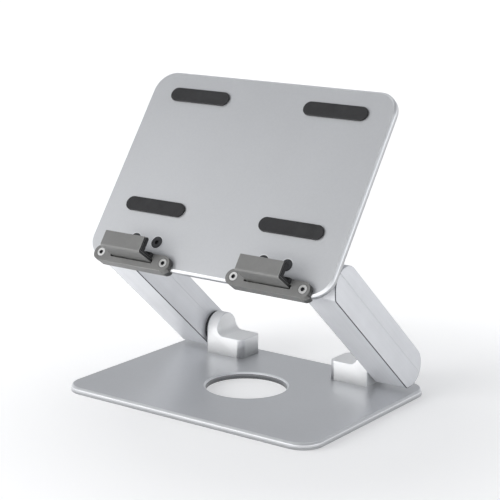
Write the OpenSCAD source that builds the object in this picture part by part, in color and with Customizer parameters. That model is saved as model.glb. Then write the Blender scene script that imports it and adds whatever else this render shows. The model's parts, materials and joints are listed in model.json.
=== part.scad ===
// Folding tablet stand. A base plate and a tray plate are joined by a pair of boxed arms
// with friction hinges at both ends. Two hooks on the tray's lower edge hold the tablet.
// X runs left to right, Y front to back, Z up from the table. The origin is the centre of
// the base plate's footprint, at the height of the table. All lengths are in millimetres.

/* [Plates] */
// Width of the base plate, left to right
base_w = 182; // [176:1:200]
// Depth of the base plate, front to back
base_d = 135; // [130:1:150]
// Thickness of the base plate and of the tray plate
plate_t = 4; // [3.5:0.5:5]
// Radius of the plates' corners, seen from above
plate_corner_r = 14; // [8:1:20]
// Chamfer along the plates' outer edge
plate_chamfer = 1.2; // [0.5:0.1:1.5]
// Radius of the round hole in the base plate
base_hole_r = 25; // [15:1:30]
// Width of the tray plate
tray_w = 176; // [174:1:182]
// Height of the tray plate, from its lower edge to its upper edge
tray_h = 130; // [110:1:132]

/* [Feet and pads] */
// Radius of a rubber foot
foot_r = 6.5; // [4:0.5:8]
// Height of the feet below the base plate
foot_h = 1.2; // [1:0.1:2]
// Distance of a foot's centre from the plate's two edges
foot_inset = 14; // [12:1:20]
// Length of a rubber pad on the tray
pad_l = 44; // [30:1:50]
// Width of a rubber pad on the tray
pad_w = 9; // [6:1:12]
// Thickness of a rubber pad on the tray
pad_t = 1.5; // [1:0.1:1.6]
// Height of the lower pads above the upper hinge axis, along the tray
pad_low = 22; // [16:1:30]
// Height of the upper pads above the upper hinge axis, along the tray
pad_high = 98; // [80:1:106]

/* [Arms] */
// Distance between the two hinge axes of an arm
arm_length = 100.3; // [96:0.1:106]
// Half the depth of an arm, and the radius of its ends
arm_r = 12.2; // [11:0.1:12.5]
// Width of an arm, left to right
arm_w = 22.5; // [21:0.5:23.5]
// Wall thickness of the arm shells
arm_wall = 2.5; // [2:0.1:2.6]
// Slope of the arms above the horizontal
arm_angle = 41.1; // [30:0.1:60]
// Rounding of the corner under each end of an arm
toe_r = 3; // [2.6:0.1:4]
// Distance from the stand's centre to the inner face of an arm
arm_inner_x = 63.5; // [63:0.5:66]
// Gap between the two shells of an arm
seam = 0.15; // [0.1:0.05:0.4]
// Distance of the seam behind the middle of the arm
seam_offset = 2.2; // [0:0.1:3]

/* [Hinges] */
// Height of a hinge axis above the plate that carries its bracket
pivot_height = 14.7; // [14:0.1:15]
// Distance of the lower hinge axis from the base plate's rear edge
pivot_inset = 15.8; // [15:0.1:20]
// Radius of a hinge pin
pin_r = 4; // [3.5:0.1:4]
// Radial clearance of a hinge pin in the arm's core
pin_play = 0.05; // [0.02:0.01:0.1]
// Radius of a bracket's knuckle, and half the depth of the bracket
bracket_r = 10.75; // [10:0.25:12]
// Width of a bracket's knuckle
knuckle_w = 8; // [7.5:0.5:12]
// Length of a bracket, along the hinge axis
bracket_l = 28; // [26:1:32]
// Height of the low block of a bracket
bracket_block_h = 12.5; // [11:0.5:13]
// Gap between a bracket and its arm
bracket_gap = 2; // [1.5:0.1:3]

/* [Tray and hooks] */
// Slope of the tray above the horizontal
tray_angle = 54.5; // [30:0.5:60]
// Distance from the upper hinge axis down to the tray's lower edge
tray_below = 16; // [15:0.5:16]
// Distance of a hook's middle from the stand's centre
hook_x = 49.4; // [46:0.1:52]
// Width of a hook
hook_w = 29.6; // [24:0.1:32]
// Thickness of a hook's metal
hook_t = 2; // [1.5:0.1:2.2]
// Height of a hook's lip, from the underside of its ledge
lip_h = 10.4; // [9:0.1:12]
// Distance from the front of the clip bar to the front of the hook
hook_reach = 13.5; // [13:0.1:15.8]
// Height of the clip bar that holds a hook
bar_h = 9.8; // [9:0.1:10]
// Distance between the two screws of a clip bar
bar_screw_pitch = 47.4; // [44:0.1:50]
// How far a clip bar stands out from the tray
bar_proud = 3.7; // [3.5:0.1:4]
// Height of a hook's ledge above the tray's lower edge
ledge_rise = 2; // [0:0.1:2.2]

/* [Hidden] */
$fn = 64;
left = -1;
right = 1;
ends = [0, 1];
pair = [-1, 1];
cut = 0.5;                                  // how far a cutting shape runs past the solid

aluminium = "#c3c6ca";
die_cast = "#8b8b88";
rubber = "#232323";
steel = "#b9bab9";
dark_steel = "#4a4b4d";
bronze = "#7d6a3c";

plate_top = foot_h + plate_t;
foot_sink = 0.6;                            // depth of the pocket that a foot is glued into
hole_rim = 1;                               // chamfer around the base plate's round hole
pivot_y = base_d / 2 - pivot_inset;
pivot_z = plate_top + pivot_height;
top_pivot_y = pivot_y - arm_length * cos(arm_angle);
top_pivot_z = pivot_z + arm_length * sin(arm_angle);
tray_mid = tray_h / 2 - tray_below;

// Places along the hinge axis, from the bracket's bore outwards into the arm
bracket_x = arm_inner_x - bracket_gap;
arm_outer_x = arm_inner_x + arm_w;
pin_socket = 6.8;
core_x = arm_inner_x + arm_wall + 0.1;
core_t = 5.8;
core_half = 6.4;
core_end_r = 8.5;
friction_washer_x = core_x + core_t + 0.1;
friction_washer_t = 1.2;
disc_spring_x = friction_washer_x + friction_washer_t + 0.05;
disc_spring_t = 0.8;
disc_spring_rise = 0.4;
nut_x = disc_spring_x + 2 * (disc_spring_t + disc_spring_rise) + 0.1;
nut_h = 4.6;
nut_r = 7.5;
nut_chamfer = 0.5;
pin_end_x = nut_x + nut_h + 0.4;
thrust_washer_t = bracket_gap - 0.2;
thrust_washer_r = 10.2;
washer_bore = pin_r + 0.1;
wall_bore = pin_r + 0.6;
screw_play = 0.05;
press_play = 0.02;
small_play = 0.1;
socket_depth = 0.7;                         // of a screw's head height

// Screws that hold the brackets: countersunk, two to a bracket
bracket_screw_r = 2;
bracket_screw_head_r = 3.8;
bracket_screw_head_h = 2;
bracket_screw_l = 11;
bracket_screw_socket_r = 1.45;
bracket_screw_hole = 7.8;
bracket_screw_xs = [bracket_x - 23, bracket_x - 6.5];

// Screws that hold an arm's shells together: countersunk, two to an arm
cover_screw_r = 1.45;
cover_screw_head_r = 2.8;
cover_screw_head_h = 1.6;
cover_screw_l = 18.5;
cover_screw_socket_r = 1.1;
cover_screw_hole = 7.5;
cover_screw_x = core_x + core_t + 2.8;
cover_screw_inset = 29;
cover_screw_us = [cover_screw_inset, arm_length - cover_screw_inset];
post_r = 2.6;
saddle_l = 5;
core_hole_r = 3.2;
core_hole_pitch = 10.5;

// Screws that hold a clip bar: socket heads, one at each end
clip_screw_r = 1.25;
clip_screw_head_r = 2.7;
clip_screw_head_h = 2;
clip_screw_l = 6.5;
clip_screw_socket_r = 1.4;
clip_screw_sink = 0.2;
clip_screw_gap = 0.3;

// Levels across the tray, measured from the upper hinge axis along the tray's normal
tray_back = pivot_height;
tray_front = tray_back + plate_t;
bar_front = tray_front + bar_proud;
hook_front = bar_front + hook_reach;
// Levels along the tray, measured upwards from the upper hinge axis
bar_lip_t = 2.4;
bar_low = -tray_below - small_play - bar_lip_t;
bar_mid = bar_low + bar_h / 2;
bar_screw_v = bar_mid + 0.4;
slot_gap = 0.8;                              // below the hook's ledge
ledge_low = ledge_rise - tray_below;
lip_top = ledge_low + lip_h;
liner_ledge_t = 1.2;
liner_lip_t = 2.7;
liner_back_t = 2.4;
liner_rise = 0.7;
liner_overhang = 0.3;
flange_h = 4.6;
flange_play = 0.05;

// ---- Frames of reference ----

// Everything is drawn for the right side; the left side is its mirror image.
module on_side(side) {
    if (side == left) mirror([1, 0, 0]) children();
    else children();
}

// At the lower hinge axis: Y to the back, Z up, the base plate pivot_height below
module lower_hinge() translate([0, pivot_y, pivot_z]) children();

// At the lower hinge axis: Y along the arm to the upper axis, Z to the arm's underside
module arm_frame() lower_hinge() rotate([180 - arm_angle, 0, 0]) children();

// At the upper hinge axis: Y up along the tray, Z out of the tray's front
module tray_frame() translate([0, top_pivot_y, top_pivot_z]) rotate([tray_angle, 0, 0]) children();

// At the upper hinge axis, turned so that the tray plate is pivot_height below
module upper_hinge() tray_frame() rotate([180, 0, 0]) children();

// ---- Shapes that repeat ----

module rod_x(x0, x1, r) translate([x0, 0, 0]) rotate([0, 90, 0]) cylinder(h = x1 - x0, r = r);

module ring_x(x0, x1, r_out, r_in) difference() {
    rod_x(x0, x1, r_out);
    rod_x(x0 - cut, x1 + cut, r_in);
}

// Extrudes an outline drawn in the YZ plane along X
module along_x(x0, x1) translate([x0, 0, 0]) rotate([90, 0, 90]) linear_extrude(x1 - x0) children();

// A plate with rounded corners and a chamfered upper edge, standing on Z = 0
module chamfered_plate(w, d, t, r, c) {
    half_w = w / 2;
    half_d = d / 2;
    for (sx = pair, sy = pair)
        translate([sx * (half_w - r), sy * (half_d - r), 0])
            rotate_extrude() polygon([[0, 0], [r, 0], [r, t - c], [r - c, t], [0, t]]);
    rotate([90, 0, 0]) linear_extrude(d - 2 * r, center = true) edge_profile(half_w, t, c);
    rotate([90, 0, 90]) linear_extrude(w - 2 * r, center = true) edge_profile(half_d, t, c);
}

module edge_profile(half, t, c)
    polygon([[-half, 0], [half, 0], [half, t - c], [half - c, t], [c - half, t], [-half, t - c]]);

// A countersunk screw, head up, the top of its head at Z = 0
module countersunk_screw(r, head_r, head_h, length, socket_r) difference() {
    union() {
        translate([0, 0, -head_h]) cylinder(h = head_h, r1 = r, r2 = head_r);
        translate([0, 0, -length]) cylinder(h = length - head_h / 2, r = r);
    }
    translate([0, 0, -head_h * socket_depth]) cylinder(h = head_h, r = socket_r, $fn = 6);
}

// The hole for a countersunk screw, through a wall of the given thickness
module countersunk_hole(r, head_r, head_h, wall) {
    translate([0, 0, -head_h]) cylinder(h = head_h, r1 = r, r2 = head_r);
    cylinder(h = cut, r = head_r);
    translate([0, 0, -wall - cut]) cylinder(h = wall + cut, r = r);
}

// A bar's front outline with round ends
module stadium(length, h) {
    square([length - h, h], center = true);
    for (s = pair) translate([s * (length - h) / 2, 0]) circle(h / 2);
}

// ---- Brackets ----

// A bracket stands on its plate at Z = -pivot_height and holds one end of a hinge pin.
module bracket_side_outline() {
    block_top = bracket_block_h - pivot_height;
    fillet_r = 5;
    knuckle_x = bracket_x - knuckle_w;
    translate([bracket_x - bracket_l, -pivot_height]) square([bracket_l, bracket_block_h]);
    translate([knuckle_x, block_top - cut]) square([knuckle_w, bracket_r - block_top + cut]);
    difference() {
        translate([knuckle_x - fillet_r, block_top - cut]) square([fillet_r + cut, fillet_r + cut]);
        translate([knuckle_x - fillet_r, block_top + fillet_r]) circle(fillet_r);
    }
}

module bracket_end_outline() {
    circle(bracket_r);
    translate([-bracket_r, -pivot_height]) square([2 * bracket_r, pivot_height]);
}

module bracket_plan_outline() {
    corner_r = 4;
    inner_end = bracket_x - bracket_l;
    straight = bracket_r - corner_r;
    translate([inner_end + corner_r, -bracket_r]) square([bracket_l - corner_r, 2 * bracket_r]);
    translate([inner_end, -straight]) square([bracket_l, 2 * straight]);
    for (s = pair) translate([inner_end + corner_r, s * straight]) circle(corner_r);
}

module bracket() difference() {
    intersection() {
        rotate([90, 0, 0]) linear_extrude(2 * bracket_r, center = true) bracket_side_outline();
        along_x(bracket_x - bracket_l, bracket_x) bracket_end_outline();
        translate([0, 0, -pivot_height]) linear_extrude(pivot_height + bracket_r) bracket_plan_outline();
    }
    rod_x(bracket_x - pin_socket, bracket_x + cut, pin_r + press_play);
    for (x = bracket_screw_xs) translate([x, 0, -pivot_height - cut])
        cylinder(h = bracket_screw_hole + cut, r = bracket_screw_r + screw_play);
}

// The screws come through the plate from its far side, towards the bracket.
module bracket_screws() for (x = bracket_screw_xs)
    translate([x, 0, -pivot_height - plate_t]) rotate([180, 0, 0])
        countersunk_screw(bracket_screw_r, bracket_screw_head_r, bracket_screw_head_h,
            bracket_screw_l, bracket_screw_socket_r);

module bracket_screw_holes() for (x = bracket_screw_xs)
    translate([x, 0, -pivot_height - plate_t]) rotate([180, 0, 0])
        countersunk_hole(bracket_screw_r + screw_play, bracket_screw_head_r + screw_play,
            bracket_screw_head_h, plate_t);

// ---- Hinge parts, along X from the bracket into the arm ----

module hinge_pin() color(steel) {
    groove = 0.5;
    rod_x(bracket_x - pin_socket + 0.3, pin_end_x - groove, pin_r);
    translate([pin_end_x - groove, 0, 0]) rotate([0, 90, 0])
        cylinder(h = groove, r1 = pin_r, r2 = pin_r - groove);
}

module thrust_washer() color(dark_steel)
    ring_x(bracket_x, bracket_x + thrust_washer_t, thrust_washer_r, washer_bore);

module friction_washer() color(bronze)
    ring_x(friction_washer_x, friction_washer_x + friction_washer_t, core_end_r, washer_bore);

// Two coned discs, face to face
module disc_springs() color(dark_steel) {
    depth = disc_spring_t + disc_spring_rise;
    translate([disc_spring_x, 0, 0]) rotate([0, 90, 0]) disc_spring();
    translate([disc_spring_x + 2 * depth, 0, 0]) rotate([0, -90, 0]) disc_spring();
}

module disc_spring() {
    rim = core_end_r - 0.5;
    rotate_extrude() polygon([[washer_bore, disc_spring_rise], [rim, 0], [rim, disc_spring_t],
        [washer_bore, disc_spring_t + disc_spring_rise]]);
}

// A hexagon nut with chamfered corners
module hinge_nut() color(steel) difference() {
    face_r = nut_r * cos(30) + 0.3;
    rim = nut_r + 0.2;
    translate([nut_x, 0, 0]) rotate([0, 90, 0]) intersection() {
        cylinder(h = nut_h, r = nut_r, $fn = 6);
        rotate_extrude() polygon([[0, 0], [face_r, 0], [rim, nut_chamfer],
            [rim, nut_h - nut_chamfer], [face_r, nut_h], [0, nut_h]]);
    }
    rod_x(nut_x - cut, nut_x + nut_h + cut, pin_r + press_play);
}

// ---- Base ----

module base_plate() color(aluminium) difference() {
    translate([0, 0, foot_h])
        chamfered_plate(base_w, base_d, plate_t, plate_corner_r, plate_chamfer);
    translate([0, 0, foot_h - cut]) cylinder(h = plate_t + 2 * cut, r = base_hole_r);
    translate([0, 0, plate_top - hole_rim])
        cylinder(h = hole_rim, r1 = base_hole_r, r2 = base_hole_r + hole_rim);
    for (side = pair) on_side(side) lower_hinge() bracket_screw_holes();
    for (sx = pair, sy = pair) foot_place(sx, sy)
        translate([0, 0, foot_h - cut]) cylinder(h = foot_sink + cut, r = foot_r + small_play);
}

module foot_place(sx, sy)
    translate([sx * (base_w / 2 - foot_inset), sy * (base_d / 2 - foot_inset), 0]) children();

module base_feet() color(rubber) for (sx = pair, sy = pair) foot_place(sx, sy) {
    edge = 0.3;
    cylinder(h = edge, r1 = foot_r - edge, r2 = foot_r);
    translate([0, 0, edge]) cylinder(h = foot_h + foot_sink - edge, r = foot_r);
}

module base_bracket(side) color(aluminium) on_side(side) lower_hinge() bracket();

module base_bracket_screws() color(dark_steel)
    for (side = pair) on_side(side) lower_hinge() bracket_screws();

module lower_hinge_pin(side) on_side(side) lower_hinge() hinge_pin();
module lower_thrust_washers() for (side = pair) on_side(side) lower_hinge() thrust_washer();
module lower_friction_washers() for (side = pair) on_side(side) lower_hinge() friction_washer();
module lower_disc_springs() for (side = pair) on_side(side) lower_hinge() disc_springs();
module lower_hinge_nuts() for (side = pair) on_side(side) lower_hinge() hinge_nut();

// ---- Arms ----

// The outline of an arm from the side: round at the back of each end, and with a flat at
// 45 degrees that makes a rounded toe on the underside.
module arm_outline(r, corner) {
    reach = (r - corner) * tan(22.5);
    translate([0, -r]) square([arm_length, 2 * r]);
    translate([-reach, 0]) square([arm_length + 2 * reach, r]);
    for (end = ends) translate([end * arm_length, 0]) mirror([end, 0]) {
        circle(r);
        arm_toe(r, corner, [-reach, r - corner]);
    }
}

// The flat lies a hair inside the two arcs, so that it meets each of them at a clear edge.
module arm_toe(r, corner, centre) {
    outwards = [-sin(45), cos(45)];
    hair = 0.01;
    translate(centre) circle(corner);
    polygon([[0, 0], (r - hair) * outwards, centre + (corner - hair) * outwards, centre]);
}

// One shell of the boxed arm, on the side of the seam that toward_front gives
module arm_shell(toward_front) {
    wall_r = arm_r - arm_wall;
    inner_corner = 0.5;
    z0 = toward_front ? seam / 2 - seam_offset : -arm_r - cut;
    z1 = toward_front ? arm_r + cut : -seam / 2 - seam_offset;
    post_low = seam / 2 + (toward_front ? -seam_offset : seam_offset);
    difference() {
        along_x(arm_inner_x, arm_outer_x) intersection() {
            arm_outline(arm_r, toe_r);
            translate([-2 * arm_r, z0]) square([arm_length + 4 * arm_r, z1 - z0]);
        }
        along_x(arm_inner_x + arm_wall, arm_outer_x - arm_wall) arm_outline(wall_r, inner_corner);
        for (end = ends) translate([0, end * arm_length, 0])
            rod_x(arm_inner_x - cut, arm_inner_x + arm_wall + cut, wall_bore);
        if (!toward_front) for (u = cover_screw_us) translate([cover_screw_x, u, -arm_r])
            rotate([180, 0, 0]) countersunk_hole(cover_screw_r + small_play,
                cover_screw_head_r + screw_play, cover_screw_head_h, arm_wall);
    }
    for (u = cover_screw_us) mirror([0, 0, toward_front ? 0 : 1]) {
        translate([cover_screw_x, u, 0])
            if (toward_front) shell_post(post_low, cover_screw_r + screw_play, cover_screw_hole);
            else shell_post(post_low, cover_screw_r + small_play, arm_r);
        // The saddle that the arm's core lies between
        translate([arm_inner_x + arm_wall - small_play, u - saddle_l / 2, core_half + small_play])
            cube([core_t, saddle_l, wall_r - core_half]);
    }
}

// A round post from the seam to the wall, with the hole for a cover screw up to hole_top
module shell_post(low, hole_r, hole_top) difference() {
    translate([0, 0, low]) cylinder(h = arm_r - arm_wall - low + small_play, r = post_r);
    translate([0, 0, low - cut]) cylinder(h = hole_top - low + cut, r = hole_r);
}

module arm_front_shell(side) color(aluminium) on_side(side) arm_frame() arm_shell(true);
module arm_rear_shell(side) color(aluminium) on_side(side) arm_frame() arm_shell(false);

// The steel bar inside an arm that carries both hinges
module arm_core(side) color(steel) on_side(side) arm_frame() difference() {
    along_x(core_x, core_x + core_t) {
        translate([0, -core_half]) square([arm_length, 2 * core_half]);
        for (end = ends) translate([end * arm_length, 0]) circle(core_end_r);
    }
    for (end = ends) translate([0, end * arm_length, 0])
        rod_x(core_x - cut, core_x + core_t + cut, pin_r + pin_play);
    for (i = [-1, 0, 1]) translate([0, arm_length / 2 + i * core_hole_pitch, 0])
        rod_x(core_x - cut, core_x + core_t + cut, core_hole_r);
}

module arm_cover_screws() color(dark_steel)
    for (side = pair, u = cover_screw_us) on_side(side) arm_frame()
        translate([cover_screw_x, u, -arm_r]) rotate([180, 0, 0])
            countersunk_screw(cover_screw_r, cover_screw_head_r, cover_screw_head_h,
                cover_screw_l, cover_screw_socket_r);

// ---- Tray ----

module tray_plate() color(aluminium) tray_frame() difference() {
    translate([0, tray_mid, tray_back])
        chamfered_plate(tray_w, tray_h, plate_t, plate_corner_r, plate_chamfer);
    for (side = pair) on_side(side) rotate([180, 0, 0]) bracket_screw_holes();
    for (side = pair, s = pair) on_side(side) clip_screw_place(s) translate([0, 0, tray_back - cut])
        cylinder(h = plate_t + 2 * cut, r = clip_screw_r + screw_play);
}

// Four rubber pads, one near each corner of the tray
module tray_pads() color(rubber) tray_frame()
    for (side = pair, v = [pad_low, pad_high]) on_side(side)
        translate([hook_x, v, tray_front]) linear_extrude(pad_t) stadium(pad_l, pad_w);

module tray_bracket(side) color(aluminium) on_side(side) upper_hinge() bracket();

module tray_bracket_screws() color(dark_steel)
    for (side = pair) on_side(side) upper_hinge() bracket_screws();

module upper_hinge_pin(side) on_side(side) upper_hinge() hinge_pin();
module upper_thrust_washers() for (side = pair) on_side(side) upper_hinge() thrust_washer();
module upper_friction_washers() for (side = pair) on_side(side) upper_hinge() friction_washer();
module upper_disc_springs() for (side = pair) on_side(side) upper_hinge() disc_springs();
module upper_hinge_nuts() for (side = pair) on_side(side) upper_hinge() hinge_nut();

// ---- Clips: a bar on the tray's lower edge, a hook through its slot, and a rubber liner ----

module clip_screw_place(s)
    translate([hook_x + s * bar_screw_pitch / 2, bar_screw_v, 0]) children();

module clip_bar(side) color(die_cast) on_side(side) tray_frame() difference() {
    translate([hook_x, bar_mid, tray_back])
        linear_extrude(bar_front - tray_back) stadium(bar_screw_pitch + bar_h, bar_h);
    // Step that the tray plate's lower edge sits in
    translate([hook_x - bar_screw_pitch, -tray_below - small_play, tray_back - cut])
        cube([2 * bar_screw_pitch, 2 * bar_h, plate_t + cut]);
    // Slot for the hook's ledge, and the pocket behind it for the hook's flange
    slot_w = hook_w + 2;
    translate([hook_x - slot_w / 2, ledge_low - slot_gap, tray_front - small_play])
        cube([slot_w, hook_t + slot_gap + small_play, bar_proud + cut]);
    translate([hook_x - slot_w / 2, ledge_low - small_play, tray_front - cut])
        cube([slot_w, flange_h + 2 * small_play, hook_t + cut + small_play]);
    for (s = pair) clip_screw_place(s) {
        translate([0, 0, tray_back]) cylinder(h = bar_front, r = clip_screw_r + small_play);
        translate([0, 0, bar_front - clip_screw_head_h - clip_screw_sink])
            cylinder(h = bar_proud, r = clip_screw_head_r + clip_screw_gap);
    }
}

// Lip, ledge and rear flange, bent from one strip
module hook(side) color(die_cast) on_side(side) tray_frame()
    along_x(hook_x - hook_w / 2, hook_x + hook_w / 2)
        translate([ledge_low, tray_front + flange_play]) hook_outline();

// Drawn with its first axis up along the tray and its second axis out of the tray's front
module hook_outline() {
    depth = hook_front - tray_front - flange_play;
    bend_r = 1.5;
    square([flange_h, hook_t]);
    difference() {
        union() {
            square([hook_t, depth]);
            translate([0, depth - hook_t]) square([lip_h, hook_t]);
        }
        difference() {
            translate([-cut, depth - bend_r]) square(bend_r + cut);
            translate([bend_r, depth - bend_r]) circle(bend_r);
        }
    }
}

// Rubber on the lip's inner side, on the ledge and on the front of the clip bar
module hook_liner(side) color(rubber) on_side(side) tray_frame()
    along_x(hook_x - hook_w / 2 - liner_overhang, hook_x + hook_w / 2 + liner_overhang) {
        floor_v = ledge_low + hook_t;
        lip_back = hook_front - hook_t;
        top_v = lip_top + liner_rise;
        round_r = liner_lip_t / 2;
        translate([floor_v, bar_front]) square([liner_ledge_t, lip_back - bar_front]);
        translate([floor_v, bar_front])
            square([bar_low + bar_h - floor_v, liner_back_t]);
        translate([floor_v, lip_back - liner_lip_t])
            square([top_v - round_r - floor_v, liner_lip_t]);
        translate([top_v - round_r, lip_back - round_r]) circle(round_r);
    }

module clip_screws() color(steel)
    for (side = pair, s = pair) on_side(side) tray_frame() clip_screw_place(s)
        translate([0, 0, bar_front - clip_screw_sink]) difference() {
            union() {
                translate([0, 0, -clip_screw_head_h])
                    cylinder(h = clip_screw_head_h, r = clip_screw_head_r);
                translate([0, 0, -clip_screw_l]) cylinder(h = clip_screw_l, r = clip_screw_r);
            }
            translate([0, 0, -clip_screw_head_h * socket_depth])
                cylinder(h = clip_screw_head_h, r = clip_screw_socket_r, $fn = 6);
        }

base_plate();
base_feet();
base_bracket(left);  // base_bracket_left
base_bracket(right);  // base_bracket_right
base_bracket_screws();
lower_hinge_pin(left);  // lower_hinge_pin_left
lower_hinge_pin(right);  // lower_hinge_pin_right
lower_thrust_washers();
lower_friction_washers();
lower_disc_springs();
lower_hinge_nuts();
arm_front_shell(left);  // arm_front_shell_left
arm_front_shell(right);  // arm_front_shell_right
arm_rear_shell(left);  // arm_rear_shell_left
arm_rear_shell(right);  // arm_rear_shell_right
arm_core(left);  // arm_core_left
arm_core(right);  // arm_core_right
arm_cover_screws();
tray_plate();
tray_pads();
tray_bracket(left);  // tray_bracket_left
tray_bracket(right);  // tray_bracket_right
tray_bracket_screws();
upper_hinge_pin(left);  // upper_hinge_pin_left
upper_hinge_pin(right);  // upper_hinge_pin_right
upper_thrust_washers();
upper_friction_washers();
upper_disc_springs();
upper_hinge_nuts();
clip_bar(left);  // clip_bar_left
clip_bar(right);  // clip_bar_right
hook(left);  // hook_left
hook(right);  // hook_right
hook_liner(left);  // hook_liner_left
hook_liner(right);  // hook_liner_right
clip_screws();
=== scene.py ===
import json
from math import atan2, radians, sqrt

import bmesh
import bpy
from mathutils import Matrix, Vector


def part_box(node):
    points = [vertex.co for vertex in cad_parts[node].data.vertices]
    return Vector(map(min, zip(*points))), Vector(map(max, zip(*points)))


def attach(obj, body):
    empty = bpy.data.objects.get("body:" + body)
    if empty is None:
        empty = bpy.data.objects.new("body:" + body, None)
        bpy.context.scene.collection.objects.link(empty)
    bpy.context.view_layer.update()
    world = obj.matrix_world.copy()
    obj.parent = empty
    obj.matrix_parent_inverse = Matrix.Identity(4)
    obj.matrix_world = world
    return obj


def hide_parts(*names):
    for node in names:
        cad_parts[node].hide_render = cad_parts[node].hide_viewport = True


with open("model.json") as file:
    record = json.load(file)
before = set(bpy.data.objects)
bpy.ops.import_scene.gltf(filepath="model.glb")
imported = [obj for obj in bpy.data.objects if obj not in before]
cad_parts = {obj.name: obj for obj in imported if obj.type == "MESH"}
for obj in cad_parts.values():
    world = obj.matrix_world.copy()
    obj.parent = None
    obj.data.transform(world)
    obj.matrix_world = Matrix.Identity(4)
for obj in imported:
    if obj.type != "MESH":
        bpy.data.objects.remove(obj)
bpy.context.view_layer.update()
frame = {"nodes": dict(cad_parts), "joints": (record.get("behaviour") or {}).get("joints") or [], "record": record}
NODES = frame["nodes"]
RECORD = frame["record"]
BODY_OF = {node: body for body, names in RECORD["behaviour"]["bodies"].items() for node in names}
SLOT_OF = {part["node"]: part["material_slot"] for part in RECORD["subparts"]}
JOINTS = {joint["name"]: joint for joint in frame["joints"]}

MM = 0.001
RIGHT = Vector((1, 0, 0))
UP = Vector((0, 0, 1))
LOWER_AXIS = Vector(JOINTS["arm_tilt"]["pos_m"])
UPPER_AXIS = Vector(JOINTS["tray_tilt"]["pos_m"])
ARM_RUN = UPPER_AXIS - LOWER_AXIS
ARM_SLOPE = atan2(ARM_RUN.z, -ARM_RUN.y)
ARM_UNDER = RIGHT.cross(ARM_RUN).normalized()
TRAY_OUT = next(Vector(mount["axis"]) for mount in RECORD["mounts"] if mount["name"] == "device_rest")
PLATE_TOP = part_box("base_plate")[1].z
BRACKET_HEIGHT = LOWER_AXIS.z - PLATE_TOP
PLATE_THICKNESS = PLATE_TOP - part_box("base_plate")[0].z
PIN_SEAT = 4.5 * MM  # just more than a hinge pin's radius
SCREW_SEAT = 2.2 * MM  # just more than a bracket screw hole's radius
HOLE_WALL = 25.2 * MM  # just more than the base hole's radius
SOCKET_DEPTH = 0.2 * MM  # how far below a clip screw's rim its socket turns dark


# ---- Materials ----

DRIFT_SHARE = 0.65  # how much of a finish's tone comes from its patches, the rest being grain


class Nodes:
    """A small helper that adds shader nodes to one material and joins them up."""

    def __init__(self, name):
        self.material = bpy.data.materials.new(name)
        self.material.use_nodes = True
        self.tree = self.material.node_tree
        self.shader = self.tree.nodes["Principled BSDF"]
        self.object_coords = self.add("ShaderNodeTexCoord").outputs["Object"]

    def add(self, kind, **settings):
        node = self.tree.nodes.new(kind)
        for key, value in settings.items():
            setattr(node, key, value)
        return node

    def link(self, output, socket):
        self.tree.links.new(output, socket)

    def along(self, tilt, stretch):
        """Coordinates turned about X by tilt, and squeezed along the turned Y by stretch, so that
        a pattern runs long that way."""
        mapping = self.add("ShaderNodeMapping", vector_type="TEXTURE")
        mapping.inputs["Rotation"].default_value = (tilt, 0, 0)
        mapping.inputs["Scale"].default_value = (1, stretch, 1)
        self.link(self.object_coords, mapping.inputs["Vector"])
        return mapping.outputs["Vector"]

    def noise(self, size, detail=2.0, coords=None):
        """Noise from 0 to 1 whose features are about size metres across."""
        node = self.add("ShaderNodeTexNoise")
        node.inputs["Scale"].default_value = 1 / size
        node.inputs["Detail"].default_value = detail
        self.link(coords or self.object_coords, node.inputs["Vector"])
        return node.outputs["Fac"]

    def spread(self, value, low, high, start=0.3, end=0.7):
        """Takes the value from start to end and gives low to high."""
        node = self.add("ShaderNodeMapRange", clamp=True)
        node.inputs["From Min"].default_value = start
        node.inputs["From Max"].default_value = end
        node.inputs["To Min"].default_value = low
        node.inputs["To Max"].default_value = high
        self.link(value, node.inputs["Value"])
        return node.outputs["Result"]

    def blend(self, value, dark, light):
        node = self.add("ShaderNodeMix", data_type="RGBA")
        node.inputs["A"].default_value = (*dark, 1)
        node.inputs["B"].default_value = (*light, 1)
        self.link(value, node.inputs["Factor"])
        return node.outputs["Result"]

    def bump(self, value, depth, strength, before=None):
        node = self.add("ShaderNodeBump")
        node.inputs["Distance"].default_value = depth
        node.inputs["Strength"].default_value = strength
        self.link(value, node.inputs["Height"])
        if before is not None:
            self.link(before, node.inputs["Normal"])
        return node.outputs["Normal"]


def tinted(color, factor):
    """The colour made lighter or darker by the factor."""
    return tuple(min(1.0, part * factor) for part in color)


def surface(name, color, metallic, roughness, tone=0.05, patch=0.035, rough_spread=0.05,
            grain=0.0004, grain_depth=0.00002, grain_strength=0.35, tilt=0.0, stretch=1.0):
    """A finish whose tone and roughness drift over patches, with a fine grain in its bump."""
    n = Nodes(name)
    coords = n.along(tilt, stretch)
    n.shader.inputs["Metallic"].default_value = metallic
    drift = n.spread(n.noise(patch, 3.0), 0.0, 1.0)
    fine = n.noise(grain, 3.0, coords)
    coarse = n.noise(grain * 3, 2.0, coords)
    mixed = n.add("ShaderNodeMath", operation="MULTIPLY_ADD")
    mixed.inputs[1].default_value = DRIFT_SHARE
    n.link(drift, mixed.inputs[0])
    n.link(n.spread(coarse, 0.0, 1 - DRIFT_SHARE), mixed.inputs[2])
    base = n.blend(mixed.outputs["Value"], tinted(color, 1 - tone), tinted(color, 1 + tone))
    n.link(base, n.shader.inputs["Base Color"])
    n.link(n.spread(n.noise(patch * 0.6, 4.0, coords), roughness - rough_spread, roughness + rough_spread),
           n.shader.inputs["Roughness"])
    n.link(n.bump(fine, grain_depth, grain_strength, n.bump(coarse, grain_depth * 2, grain_strength * 0.6)),
           n.shader.inputs["Normal"])
    return n.material


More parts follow.
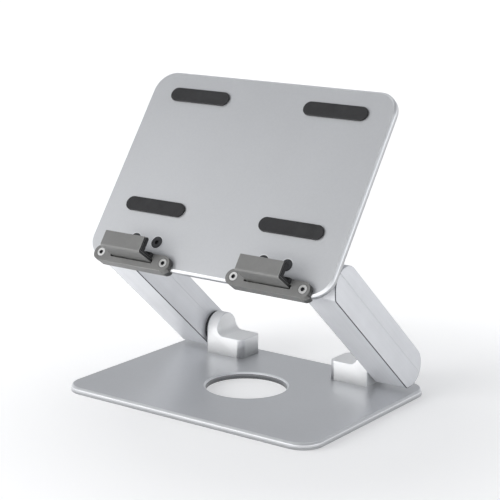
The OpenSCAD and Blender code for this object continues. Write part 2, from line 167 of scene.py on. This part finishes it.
blasted = surface("blasted_aluminium", (0.68, 0.69, 0.706), 0.75, 0.36, tone=0.03, patch=0.07,
                  rough_spread=0.015, grain=0.0005, grain_depth=0.00003, grain_strength=0.5)
polished = surface("polished_edge", (0.90, 0.91, 0.925), 0.8, 0.34, tone=0.04, patch=0.008,
                   rough_spread=0.05, grain=0.0012, grain_depth=0.00001, grain_strength=0.3)
satin = surface("satin_aluminium", (0.83, 0.835, 0.84), 0.15, 0.42, tone=0.03, patch=0.02,
                grain=0.0004, grain_depth=0.00002, grain_strength=0.3)
satin_edge = surface("satin_edge", (0.82, 0.825, 0.84), 0.7, 0.32, tone=0.03, patch=0.01,
                     grain=0.0008, grain_depth=0.00001, grain_strength=0.2)
brushed = surface("brushed_aluminium", (0.70, 0.71, 0.735), 0.4, 0.42, tone=0.05, patch=0.025,
                  grain=0.0005, grain_depth=0.00003, grain_strength=0.4, tilt=-ARM_SLOPE, stretch=40)
# A near-black finish for the rounding of the arms' front edges: painted shade, standing in for the shade on that
# rounding.
painted_shade_arm_edge = surface("painted_shade_arm_edge", (0.10, 0.105, 0.115), 0.7, 0.42, tone=0.06, patch=0.02,
                       grain=0.0006, grain_depth=0.00001, grain_strength=0.3, tilt=-ARM_SLOPE, stretch=30)
cast = surface("grey_cast", (0.16, 0.16, 0.157), 0.2, 0.46, tone=0.08, patch=0.012,
               grain=0.0006, grain_depth=0.00004, grain_strength=0.5)
# A darker grey for the base hole's wall: painted shade, standing in for the shade inside the hole.
painted_bore_shade = surface("shaded_bore_wall", (0.24, 0.245, 0.255), 0.85, 0.34, tone=0.06, patch=0.006,
                    grain=0.0004, grain_depth=0.00002, grain_strength=0.4)
cast_edge = surface("grey_cast_edge", (0.25, 0.25, 0.243), 0.3, 0.38, tone=0.12, patch=0.004,
                    grain=0.0006, grain_depth=0.00003, grain_strength=0.4)
coated = surface("dark_coating", (0.035, 0.035, 0.036), 0.1, 0.5, tone=0.15, patch=0.006,
                 grain=0.0006, grain_depth=0.00004, grain_strength=0.5)
rubber = surface("black_rubber", (0.018, 0.018, 0.019), 0.0, 0.62, tone=0.25, patch=0.01,
                 grain=0.0006, grain_depth=0.00006, grain_strength=0.6)
turned = surface("turned_steel", (0.72, 0.72, 0.71), 0.7, 0.34, tone=0.08, patch=0.004,
                 grain=0.0003, grain_depth=0.00002, grain_strength=0.4)
# Black oxide steel for the black steel parts; the same near-black is also put in the clip screws' sockets as
# painted shade.
oxide_and_socket_shade = surface("black_oxide_steel_and_socket_shade", (0.075, 0.076, 0.08), 0.9, 0.42, tone=0.2, patch=0.004,
                grain=0.0004, grain_depth=0.00003, grain_strength=0.5)
bronze = surface("oiled_bronze", (0.42, 0.29, 0.13), 1.0, 0.38, tone=0.15, patch=0.003,
                 grain=0.0004, grain_depth=0.00003, grain_strength=0.5)
FINISHES = {
    "silver_plate": (blasted, polished), "silver_bracket": (satin, satin_edge),
    "silver_arm": (brushed, painted_shade_arm_edge), "grey_cast": (cast, cast_edge), "black_rubber": (rubber, rubber),
    "bright_steel": (turned, turned), "black_steel": (oxide_and_socket_shade, oxide_and_socket_shade), "bronze": (bronze, bronze),
}


# ---- Pieces: each is a CAD node's shape with its edges rounded and its faces finished ----

def same_plane(a, b, normal, level, near=0.02 * MM):
    """True if both ends of an edge lie on the plane at that level along normal."""
    return abs(a.dot(normal) - level) < near and abs(b.dot(normal) - level) < near


def near_axis(point, axis, direction, radius):
    """True if the point is within radius of the line through axis along direction."""
    away = point - axis
    return (away - direction * away.dot(direction)).length < radius


def refined(node, width, choose=None, segments=3, limit=25, polish=None, bevel_slot=1):
    """Builds a piece from a CAD node's faces: flat faces are joined up, and the chosen sharp
    edges get a rounding of that width, in the edge's finish unless bevel_slot is 0.
    polish(face centre, normal) picks faces that get the edge's finish as well."""
    body, edge = FINISHES[SLOT_OF[node]]
    mesh = bpy.data.meshes.new(node + "_finished")
    bm = bmesh.new()
    bm.from_mesh(NODES[node].data)
    bmesh.ops.remove_doubles(bm, verts=bm.verts, dist=0.002 * MM)
    bmesh.ops.dissolve_limit(bm, angle_limit=radians(0.4), verts=bm.verts, edges=bm.edges)
    weights = bm.edges.layers.float.new("bevel_weight_edge")
    for e in bm.edges:
        if len(e.link_faces) != 2 or e.calc_face_angle(0) < radians(limit):
            continue
        a, b = (v.co for v in e.verts)
        if choose is None or choose(a, b):
            e[weights] = 1.0
    for f in bm.faces:
        f.material_index = 0
        f.smooth = True
    bm.to_mesh(mesh)
    bm.free()
    mesh.materials.append(body)
    mesh.materials.append(edge)
    piece = bpy.data.objects.new(node + "_piece", mesh)
    bpy.context.scene.collection.objects.link(piece)
    bevel = piece.modifiers.new("rounding", "BEVEL")
    bevel.limit_method = "WEIGHT"
    bevel.width = width
    bevel.segments = segments
    bevel.material = bevel_slot
    bevel.use_clamp_overlap = False
    bevel.loop_slide = False
    normals = piece.modifiers.new("normals", "WEIGHTED_NORMAL")
    normals.keep_sharp = True
    normals.weight = 80
    depsgraph = bpy.context.evaluated_depsgraph_get()
    done = bpy.data.meshes.new_from_object(piece.evaluated_get(depsgraph), depsgraph=depsgraph)
    piece.modifiers.clear()
    piece.data = done
    if polish:
        for face in done.polygons:
            if polish(face.center, face.normal):
                face.material_index = 1
    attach(piece, BODY_OF[node])
    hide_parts(node)
    return piece


def repaint(piece, finish, pick):
    """Gives the faces that pick(face centre, normal) chooses another finish."""
    piece.data.materials.append(finish)
    for face in piece.data.polygons:
        if pick(face.center, face.normal):
            face.material_index = len(piece.data.materials) - 1


def plate_piece(node, out, level):
    """A plate: its chamfers are polished, and its edges rounded except at the screws."""
    def choose(a, b):
        return (a - b).length > 0.5 * MM and min(a.dot(out), b.dot(out)) > level - 1.5 * MM

    def polish(centre, normal):
        return abs(normal.dot(out) - sqrt(0.5)) < 0.02
    return refined(node, 0.25 * MM, choose, 2, 25, polish)


def bracket_piece(node, axis, down):
    """A bracket: rounded all round, but not at its foot, its bore and its screw holes."""
    foot = axis.dot(down) + BRACKET_HEIGHT

    def choose(a, b):
        if same_plane(a, b, down, foot):
            return False
        if near_axis(a, axis, RIGHT, PIN_SEAT):
            return False
        below_pin = min((a - axis).dot(down), (b - axis).dot(down)) > 4 * MM
        by_screw = abs((a - axis).dot(down.cross(RIGHT))) < SCREW_SEAT
        return not (below_pin and by_screw and abs(a.x - b.x) < 1.5 * MM)

    def polish(centre, normal):
        return abs(normal.dot(down)) < 0.05 and 0.1 < abs(normal.x) < 0.99
    return refined(node, 0.6 * MM, choose, 3, 30, polish)


def arm_piece(node, seam_end):
    """Half of an arm: its long outer edges are rounded, but not the edges along the seam, at the
    end of its depth that seam_end finds."""
    low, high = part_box(node)
    seam = seam_end((v.co - LOWER_AXIS).dot(ARM_UNDER) for v in NODES[node].data.vertices)

    def choose(a, b):
        if same_plane(a - LOWER_AXIS, b - LOWER_AXIS, ARM_UNDER, seam):
            return False
        for x in (low.x, high.x):
            if abs(a.x - x) < 0.02 * MM and abs(b.x - x) < 0.02 * MM:
                middle = (a + b) / 2
                return not (near_axis(middle, LOWER_AXIS, RIGHT, 5 * MM)
                            or near_axis(middle, UPPER_AXIS, RIGHT, 5 * MM)
                            or (a - b).length < 0.3 * MM)
        return False
    # The front half's roundings take the near-black painted shade; the rear half's keep the arm's own finish.
    return refined(node, 0.45 * MM, choose, 3, 30, bevel_slot=1 if seam_end is min else 0)


base = plate_piece("base_plate", UP, PLATE_TOP)
# The base hole's wall is painted darker, as painted shade.
repaint(base, painted_bore_shade, lambda centre, normal: centre.xy.length < HOLE_WALL and abs(normal.z) < 0.5)
plate_piece("tray_plate", TRAY_OUT, UPPER_AXIS.dot(TRAY_OUT) + BRACKET_HEIGHT + PLATE_THICKNESS)
for side in ("left", "right"):
    bracket_piece("base_bracket_" + side, LOWER_AXIS, -UP)
    bracket_piece("tray_bracket_" + side, UPPER_AXIS, TRAY_OUT)
    arm_piece("arm_front_shell_" + side, min)
    arm_piece("arm_rear_shell_" + side, max)
    refined("clip_bar_" + side, 0.35 * MM, lambda a, b: (a - b).length > 0.7 * MM, 3, 30)
    hook = refined("hook_" + side, 0.35 * MM, None, 3, 30)
    repaint(hook, coated, lambda centre, normal: abs(normal.x) > 0.97)
    refined("hook_liner_" + side, 0.3 * MM, None, 3, 30)
refined("tray_pads", 0.35 * MM, None, 3, 40)
refined("base_feet", 0.12 * MM, None, 2, 30)
screws = refined("clip_screws", 0.12 * MM, lambda a, b: (a - b).length > 0.15 * MM, 2, 40)
head_level = max(v.co.dot(TRAY_OUT) for v in NODES["clip_screws"].data.vertices)
# Every clip screw face deeper than SOCKET_DEPTH below the rim, the socket among them, is painted near-black as
# painted shade in the recess.
repaint(screws, oxide_and_socket_shade, lambda centre, normal: centre.dot(TRAY_OUT) < head_level - SOCKET_DEPTH)

# Every CAD node takes its finish, which shows on the pieces that are kept as they are
for name, node in NODES.items():
    node.data.materials.clear()
    node.data.materials.append(FINISHES[SLOT_OF[name]][0])


# ---- Floor, light and camera ----

floor_mesh = bpy.data.meshes.new("floor")
bm = bmesh.new()
bmesh.ops.create_grid(bm, x_segments=8, y_segments=8, size=30.0)
bm.to_mesh(floor_mesh)
bm.free()
floor = bpy.data.objects.new("floor", floor_mesh)
bpy.context.scene.collection.objects.link(floor)
# Paper that glows a little, a painted light standing in for light bounced round a bright studio; its glow is least
# round the stand's right front, a painted shadow where its shadow falls
paper = Nodes("white_paper")
paper.link(paper.blend(paper.noise(0.4, 2.0), (0.70, 0.70, 0.705), (0.74, 0.74, 0.745)),
           paper.shader.inputs["Base Color"])
paper.shader.inputs["Roughness"].default_value = 0.6
paper.shader.inputs["Specular IOR Level"].default_value = 0.2
paper.shader.inputs["Emission Color"].default_value = (1, 1, 1, 1)
distance = paper.add("ShaderNodeVectorMath", operation="DISTANCE")
distance.inputs[1].default_value = (0.055, -0.03, 0)
paper.link(paper.object_coords, distance.inputs[0])
glow = paper.add("ShaderNodeMath", operation="ADD")
paper.link(paper.spread(distance.outputs["Value"], 0.34, 0.62, 0.09, 0.27), glow.inputs[0])
paper.link(paper.spread(distance.outputs["Value"], 0.0, 0.18, 0.3, 1.6), glow.inputs[1])
paper.link(glow.outputs["Value"], paper.shader.inputs["Emission Strength"])
floor_mesh.materials.append(paper.material)


def area_light(name, place, target, width, height, watts, color):
    data = bpy.data.lights.new(name, "AREA")
    data.shape = "RECTANGLE"
    data.size = width
    data.size_y = height
    data.energy = watts
    data.color = color
    light = bpy.data.objects.new(name, data)
    light.location = place
    light.rotation_euler = (Vector(target) - Vector(place)).to_track_quat("-Z", "Y").to_euler()
    bpy.context.scene.collection.objects.link(light)
    return light


# The key is left out of reflections, where the large soft light stands in for it
key = area_light("key", (-0.8, -1.9, 0.45), (0, 0, 0.05), 1.6, 1.0, 39, (1.0, 0.997, 0.99))
key.visible_glossy = False
area_light("soft", (-0.8, -1.95, 0.75), (0, 0, 0.05), 3.6, 2.2, 17, (1.0, 0.998, 0.995))
area_light("fill", (1.9, 0.2, 0.7), (0, 0, 0.08), 1.4, 1.1, 4.5, (0.95, 0.975, 1.0))
area_light("top", (-0.2, 0.3, 1.7), (0, 0, 0.05), 1.6, 1.6, 4, (0.97, 0.985, 1.0))

# White at the horizon, darker overhead, and a little brighter behind the stand than in front of it
world = bpy.data.worlds.new("studio")
world.use_nodes = True
bpy.context.scene.world = world
tree = world.node_tree
direction = tree.nodes.new("ShaderNodeTexCoord").outputs["Generated"]


def ramp(value, stops):
    """Colours along the value from 0 to 1, as (place, colour) pairs."""
    node = tree.nodes.new("ShaderNodeValToRGB")
    tree.links.new(value, node.inputs["Fac"])
    elements = node.color_ramp.elements
    while len(elements) < len(stops):
        elements.new(0.5)
    for element, (place, color) in zip(elements, stops):
        element.position = place
        element.color = (*color, 1)
    return node.outputs["Color"]


split = tree.nodes.new("ShaderNodeSeparateXYZ")
tree.links.new(direction, split.inputs["Vector"])
height = ramp(split.outputs["Z"], [(0.0, (1.0, 1.0, 1.0)), (0.08, (0.86, 0.87, 0.885)),
                                   (0.3, (0.46, 0.47, 0.49)), (1.0, (0.12, 0.123, 0.13))])
facing = tree.nodes.new("ShaderNodeVectorMath")
facing.operation = "DOT_PRODUCT"
facing.inputs[1].default_value = (-0.28, 0.40, 0)
tree.links.new(direction, facing.inputs[0])
half = tree.nodes.new("ShaderNodeMath")
half.operation = "ADD"
half.inputs[1].default_value = 0.5
tree.links.new(facing.outputs["Value"], half.inputs[0])
depth = ramp(half.outputs["Value"], [(0.0, (0.95, 0.95, 0.95)), (0.3, (1.0, 1.0, 1.0)),
                                     (1.0, (1.08, 1.08, 1.08))])
risen = tree.nodes.new("ShaderNodeMapRange")
risen.inputs["From Min"].default_value = 0.04
risen.inputs["From Max"].default_value = 0.2
tree.links.new(split.outputs["Z"], risen.inputs["Value"])
product = tree.nodes.new("ShaderNodeMix")
product.data_type = "RGBA"
product.blend_type = "MULTIPLY"
tree.links.new(risen.outputs["Result"], product.inputs["Factor"])
tree.links.new(height, product.inputs["A"])
tree.links.new(depth, product.inputs["B"])
tree.links.new(product.outputs["Result"], tree.nodes["Background"].inputs["Color"])

bpy.context.scene.view_settings.view_transform = "Standard"

camera_data = bpy.data.cameras.new("camera")
camera_data.sensor_width = 36
camera_data.lens = 112.04
camera = bpy.data.objects.new("camera", camera_data)
camera.location = (0.5317, -0.7403, 0.3049)
ahead = Vector((-0.56656, 0.79150, -0.22920)).normalized()
across = Vector((0.81187, 0.58377, 0.00906)).normalized()
camera.rotation_mode = "QUATERNION"
camera.rotation_quaternion = Matrix((across, across.cross(ahead), -ahead)).transposed().to_quaternion()
bpy.context.scene.collection.objects.link(camera)
bpy.context.scene.camera = camera
